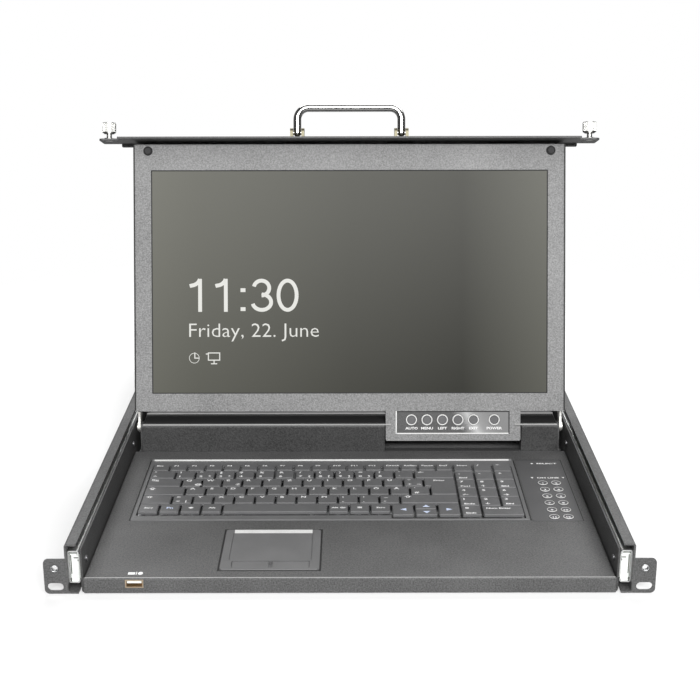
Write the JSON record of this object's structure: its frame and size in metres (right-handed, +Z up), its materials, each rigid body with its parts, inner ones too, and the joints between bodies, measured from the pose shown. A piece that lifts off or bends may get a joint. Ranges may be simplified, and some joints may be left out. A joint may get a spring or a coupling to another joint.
{
  "type": "rackmount lcd console drawer",
  "caption": "Sliding one-unit rack drawer with keyboard, touchpad, port keypad and a fold-up widescreen display, on ball slides in side channels with ears, rear brackets and a folding pull.",
  "frame": {"origin": "midway between the two front rack slots, on the ears' front faces", "axes": "+X to the user's right, +Y back into the rack, +Z up"},
  "size_m": [0.4826, 0.6315, 0.3382],
  "materials": {
    "black_powder_coat": "fine textured powder coat, satin",
    "zinc_steel": "bright zinc plate",
    "ball_steel": "polished hardened steel",
    "bright_nickel": "bright nickel plate",
    "key_plastic": "fine moulded texture, matt",
    "moulding_plastic": "fine moulded texture, matt",
    "touch_plastic": "smooth matt",
    "overlay_film": "matt printed film",
    "rubber_black": "matt",
    "screen_face": "anti-glare film",
    "connector_steel": "nickel plated shells on dark blocks",
    "inlet_plastic": "moulded, semi-gloss",
    "nylon_white": "natural moulded nylon",
    "board_green": "solder mask",
    "socket_gold": "flash gold shell"
  },
  "bodies": {
    "chassis": {"channel_left": "black_powder_coat", "channel_right": "black_powder_coat", "slide_outer_left": "zinc_steel", "slide_outer_right": "zinc_steel", "rear_brackets": "black_powder_coat", "panel_nuts": "zinc_steel", "chassis_screws": "zinc_steel"},
    "slide_middle_left": {"slide_middle_left": "zinc_steel", "ball_cage_left": "ball_steel"},
    "slide_middle_right": {"slide_middle_right": "zinc_steel", "ball_cage_right": "ball_steel"},
    "drawer": {"slide_inner_left": "zinc_steel", "slide_inner_right": "zinc_steel", "slide_buffers": "nylon_white", "drawer_tray": "black_powder_coat", "top_deck": "black_powder_coat", "rear_box_cover": "black_powder_coat", "rear_panel": "black_powder_coat", "port_sockets": "connector_steel", "power_inlet": "inlet_plastic", "control_board": "board_green", "drawer_screws": "zinc_steel", "keyboard_frame": "moulding_plastic", "keyboard_base": "zinc_steel", "touchpad_frame": "moulding_plastic", "touchpad_surface": "touch_plastic", "keypad_overlay": "overlay_film", "usb_port": "socket_gold", "hinge_stands": "zinc_steel"},
    "lcd": {"lcd_bezel": "black_powder_coat", "lcd_back_cover": "black_powder_coat", "lcd_panel": "screen_face", "osd_panel": "overlay_film", "bezel_bumpers": "rubber_black", "front_plate": "black_powder_coat", "handle_brackets": "bright_nickel", "hinge_arms": "zinc_steel", "thumbscrew_ferrules": "bright_nickel"},
    "handle": {"handle": "bright_nickel"},
    "thumbscrew_ring_left": {"thumbscrew_ring_left": "zinc_steel"},
    "thumbscrew_left": {"thumbscrew_left": "bright_nickel"},
    "thumbscrew_ring_right": {"thumbscrew_ring_right": "zinc_steel"},
    "thumbscrew_right": {"thumbscrew_right": "bright_nickel"},
    "keys_function": {"keys_function": "key_plastic"},
    "keys_number": {"keys_number": "key_plastic"},
    "keys_upper": {"keys_upper": "key_plastic"},
    "keys_home": {"keys_home": "key_plastic"},
    "keys_lower": {"keys_lower": "key_plastic"},
    "keys_bottom": {"keys_bottom": "key_plastic"},
    "key_space": {"key_space": "key_plastic"},
    "keys_numpad": {"keys_numpad": "key_plastic"},
    "touchpad_button_left": {"touchpad_button_left": "touch_plastic"},
    "touchpad_button_right": {"touchpad_button_right": "touch_plastic"},
    "keypad_buttons": {"keypad_buttons": "key_plastic"},
    "osd_button_1": {"osd_button_1": "moulding_plastic"},
    "osd_button_2": {"osd_button_2": "moulding_plastic"},
    "osd_button_3": {"osd_button_3": "moulding_plastic"},
    "osd_button_4": {"osd_button_4": "moulding_plastic"},
    "osd_button_5": {"osd_button_5": "moulding_plastic"},
    "osd_button_6": {"osd_button_6": "moulding_plastic"}
  },
  "joints": [
    {"name": "drawer_slide", "type": "slide", "parent": "chassis", "child": "drawer", "axis": [0, -1, 0], "range_m": [0, 0.38]},
    {"name": "lcd_hinge", "type": "hinge", "parent": "drawer", "child": "lcd", "pos_m": [0, 0.278, 0.02768], "axis": [1, 0, 0], "range_deg": [-13.7, 106.3]},
    {"name": "handle_fold", "type": "hinge", "parent": "lcd", "child": "handle", "pos_m": [0, 0.34695, 0.30549], "axis": [1, 0, 0], "range_deg": [0, 90]},
    {"name": "slide_middle_left_travel", "type": "slide", "parent": "chassis", "child": "slide_middle_left", "axis": [0, -1, 0], "range_m": [0, 0.19]},
    {"name": "slide_middle_right_travel", "type": "slide", "parent": "chassis", "child": "slide_middle_right", "axis": [0, -1, 0], "range_m": [0, 0.19]},
    {"name": "thumbscrew_left_float", "type": "slide", "parent": "lcd", "child": "thumbscrew_ring_left", "axis": [0, -0.2807, -0.9598], "range_m": [0, 0.004], "stiffness_N_per_m": 120, "springref_m": -0.004},
    {"name": "thumbscrew_left_turn", "type": "hinge", "parent": "thumbscrew_ring_left", "child": "thumbscrew_left", "pos_m": [-0.23255, 0.34526, 0.29973], "axis": [0, 0.2807, 0.9598], "continuous": true},
    {"name": "thumbscrew_right_float", "type": "slide", "parent": "lcd", "child": "thumbscrew_ring_right", "axis": [0, -0.2807, -0.9598], "range_m": [0, 0.004], "stiffness_N_per_m": 120, "springref_m": -0.004},
    {"name": "thumbscrew_right_turn", "type": "hinge", "parent": "thumbscrew_ring_right", "child": "thumbscrew_right", "pos_m": [0.23255, 0.34526, 0.29973], "axis": [0, 0.2807, 0.9598], "continuous": true},
    {"name": "keys_function_press", "type": "slide", "parent": "drawer", "child": "keys_function", "axis": [0, 0, -1], "range_m": [0, 0.002], "stiffness_N_per_m": 600, "springref_m": -0.001},
    {"name": "keys_number_press", "type": "slide", "parent": "drawer", "child": "keys_number", "axis": [0, 0, -1], "range_m": [0, 0.002], "stiffness_N_per_m": 600, "springref_m": -0.001},
    {"name": "keys_upper_press", "type": "slide", "parent": "drawer", "child": "keys_upper", "axis": [0, 0, -1], "range_m": [0, 0.002], "stiffness_N_per_m": 600, "springref_m": -0.001},
    {"name": "keys_home_press", "type": "slide", "parent": "drawer", "child": "keys_home", "axis": [0, 0, -1], "range_m": [0, 0.002], "stiffness_N_per_m": 600, "springref_m": -0.001},
    {"name": "keys_lower_press", "type": "slide", "parent": "drawer", "child": "keys_lower", "axis": [0, 0, -1], "range_m": [0, 0.002], "stiffness_N_per_m": 600, "springref_m": -0.001},
    {"name": "keys_bottom_press", "type": "slide", "parent": "drawer", "child": "keys_bottom", "axis": [0, 0, -1], "range_m": [0, 0.002], "stiffness_N_per_m": 600, "springref_m": -0.001},
    {"name": "key_space_press", "type": "slide", "parent": "drawer", "child": "key_space", "axis": [0, 0, -1], "range_m": [0, 0.002], "stiffness_N_per_m": 600, "springref_m": -0.001},
    {"name": "keys_numpad_press", "type": "slide", "parent": "drawer", "child": "keys_numpad", "axis": [0, 0, -1], "range_m": [0, 0.002], "stiffness_N_per_m": 600, "springref_m": -0.001},
    {"name": "touchpad_button_left_press", "type": "slide", "parent": "drawer", "child": "touchpad_button_left", "axis": [0, 0, -1], "range_m": [0, 0.0004], "stiffness_N_per_m": 1500, "springref_m": -0.0003},
    {"name": "touchpad_button_right_press", "type": "slide", "parent": "drawer", "child": "touchpad_button_right", "axis": [0, 0, -1], "range_m": [0, 0.0004], "stiffness_N_per_m": 1500, "springref_m": -0.0003},
    {"name": "keypad_buttons_press", "type": "slide", "parent": "drawer", "child": "keypad_buttons", "axis": [0, 0, -1], "range_m": [0, 0.0004], "stiffness_N_per_m": 1500, "springref_m": -0.0003},
    {"name": "osd_button_1_press", "type": "slide", "parent": "lcd", "child": "osd_button_1", "axis": [0, 0.9598, -0.2807], "range_m": [0, 0.0008], "stiffness_N_per_m": 800, "springref_m": -0.0004},
    {"name": "osd_button_2_press", "type": "slide", "parent": "lcd", "child": "osd_button_2", "axis": [0, 0.9598, -0.2807], "range_m": [0, 0.0008], "stiffness_N_per_m": 800, "springref_m": -0.0004},
    {"name": "osd_button_3_press", "type": "slide", "parent": "lcd", "child": "osd_button_3", "axis": [0, 0.9598, -0.2807], "range_m": [0, 0.0008], "stiffness_N_per_m": 800, "springref_m": -0.0004},
    {"name": "osd_button_4_press", "type": "slide", "parent": "lcd", "child": "osd_button_4", "axis": [0, 0.9598, -0.2807], "range_m": [0, 0.0008], "stiffness_N_per_m": 800, "springref_m": -0.0004},
    {"name": "osd_button_5_press", "type": "slide", "parent": "lcd", "child": "osd_button_5", "axis": [0, 0.9598, -0.2807], "range_m": [0, 0.0008], "stiffness_N_per_m": 800, "springref_m": -0.0004},
    {"name": "osd_button_6_press", "type": "slide", "parent": "lcd", "child": "osd_button_6", "axis": [0, 0.9598, -0.2807], "range_m": [0, 0.0008], "stiffness_N_per_m": 800, "springref_m": -0.0004}
  ],
  "couplings": [
    {"joint": "slide_middle_left_travel", "follows": "drawer_slide", "ratio": 0.5},
    {"joint": "slide_middle_right_travel", "follows": "drawer_slide", "ratio": 0.5}
  ]
}
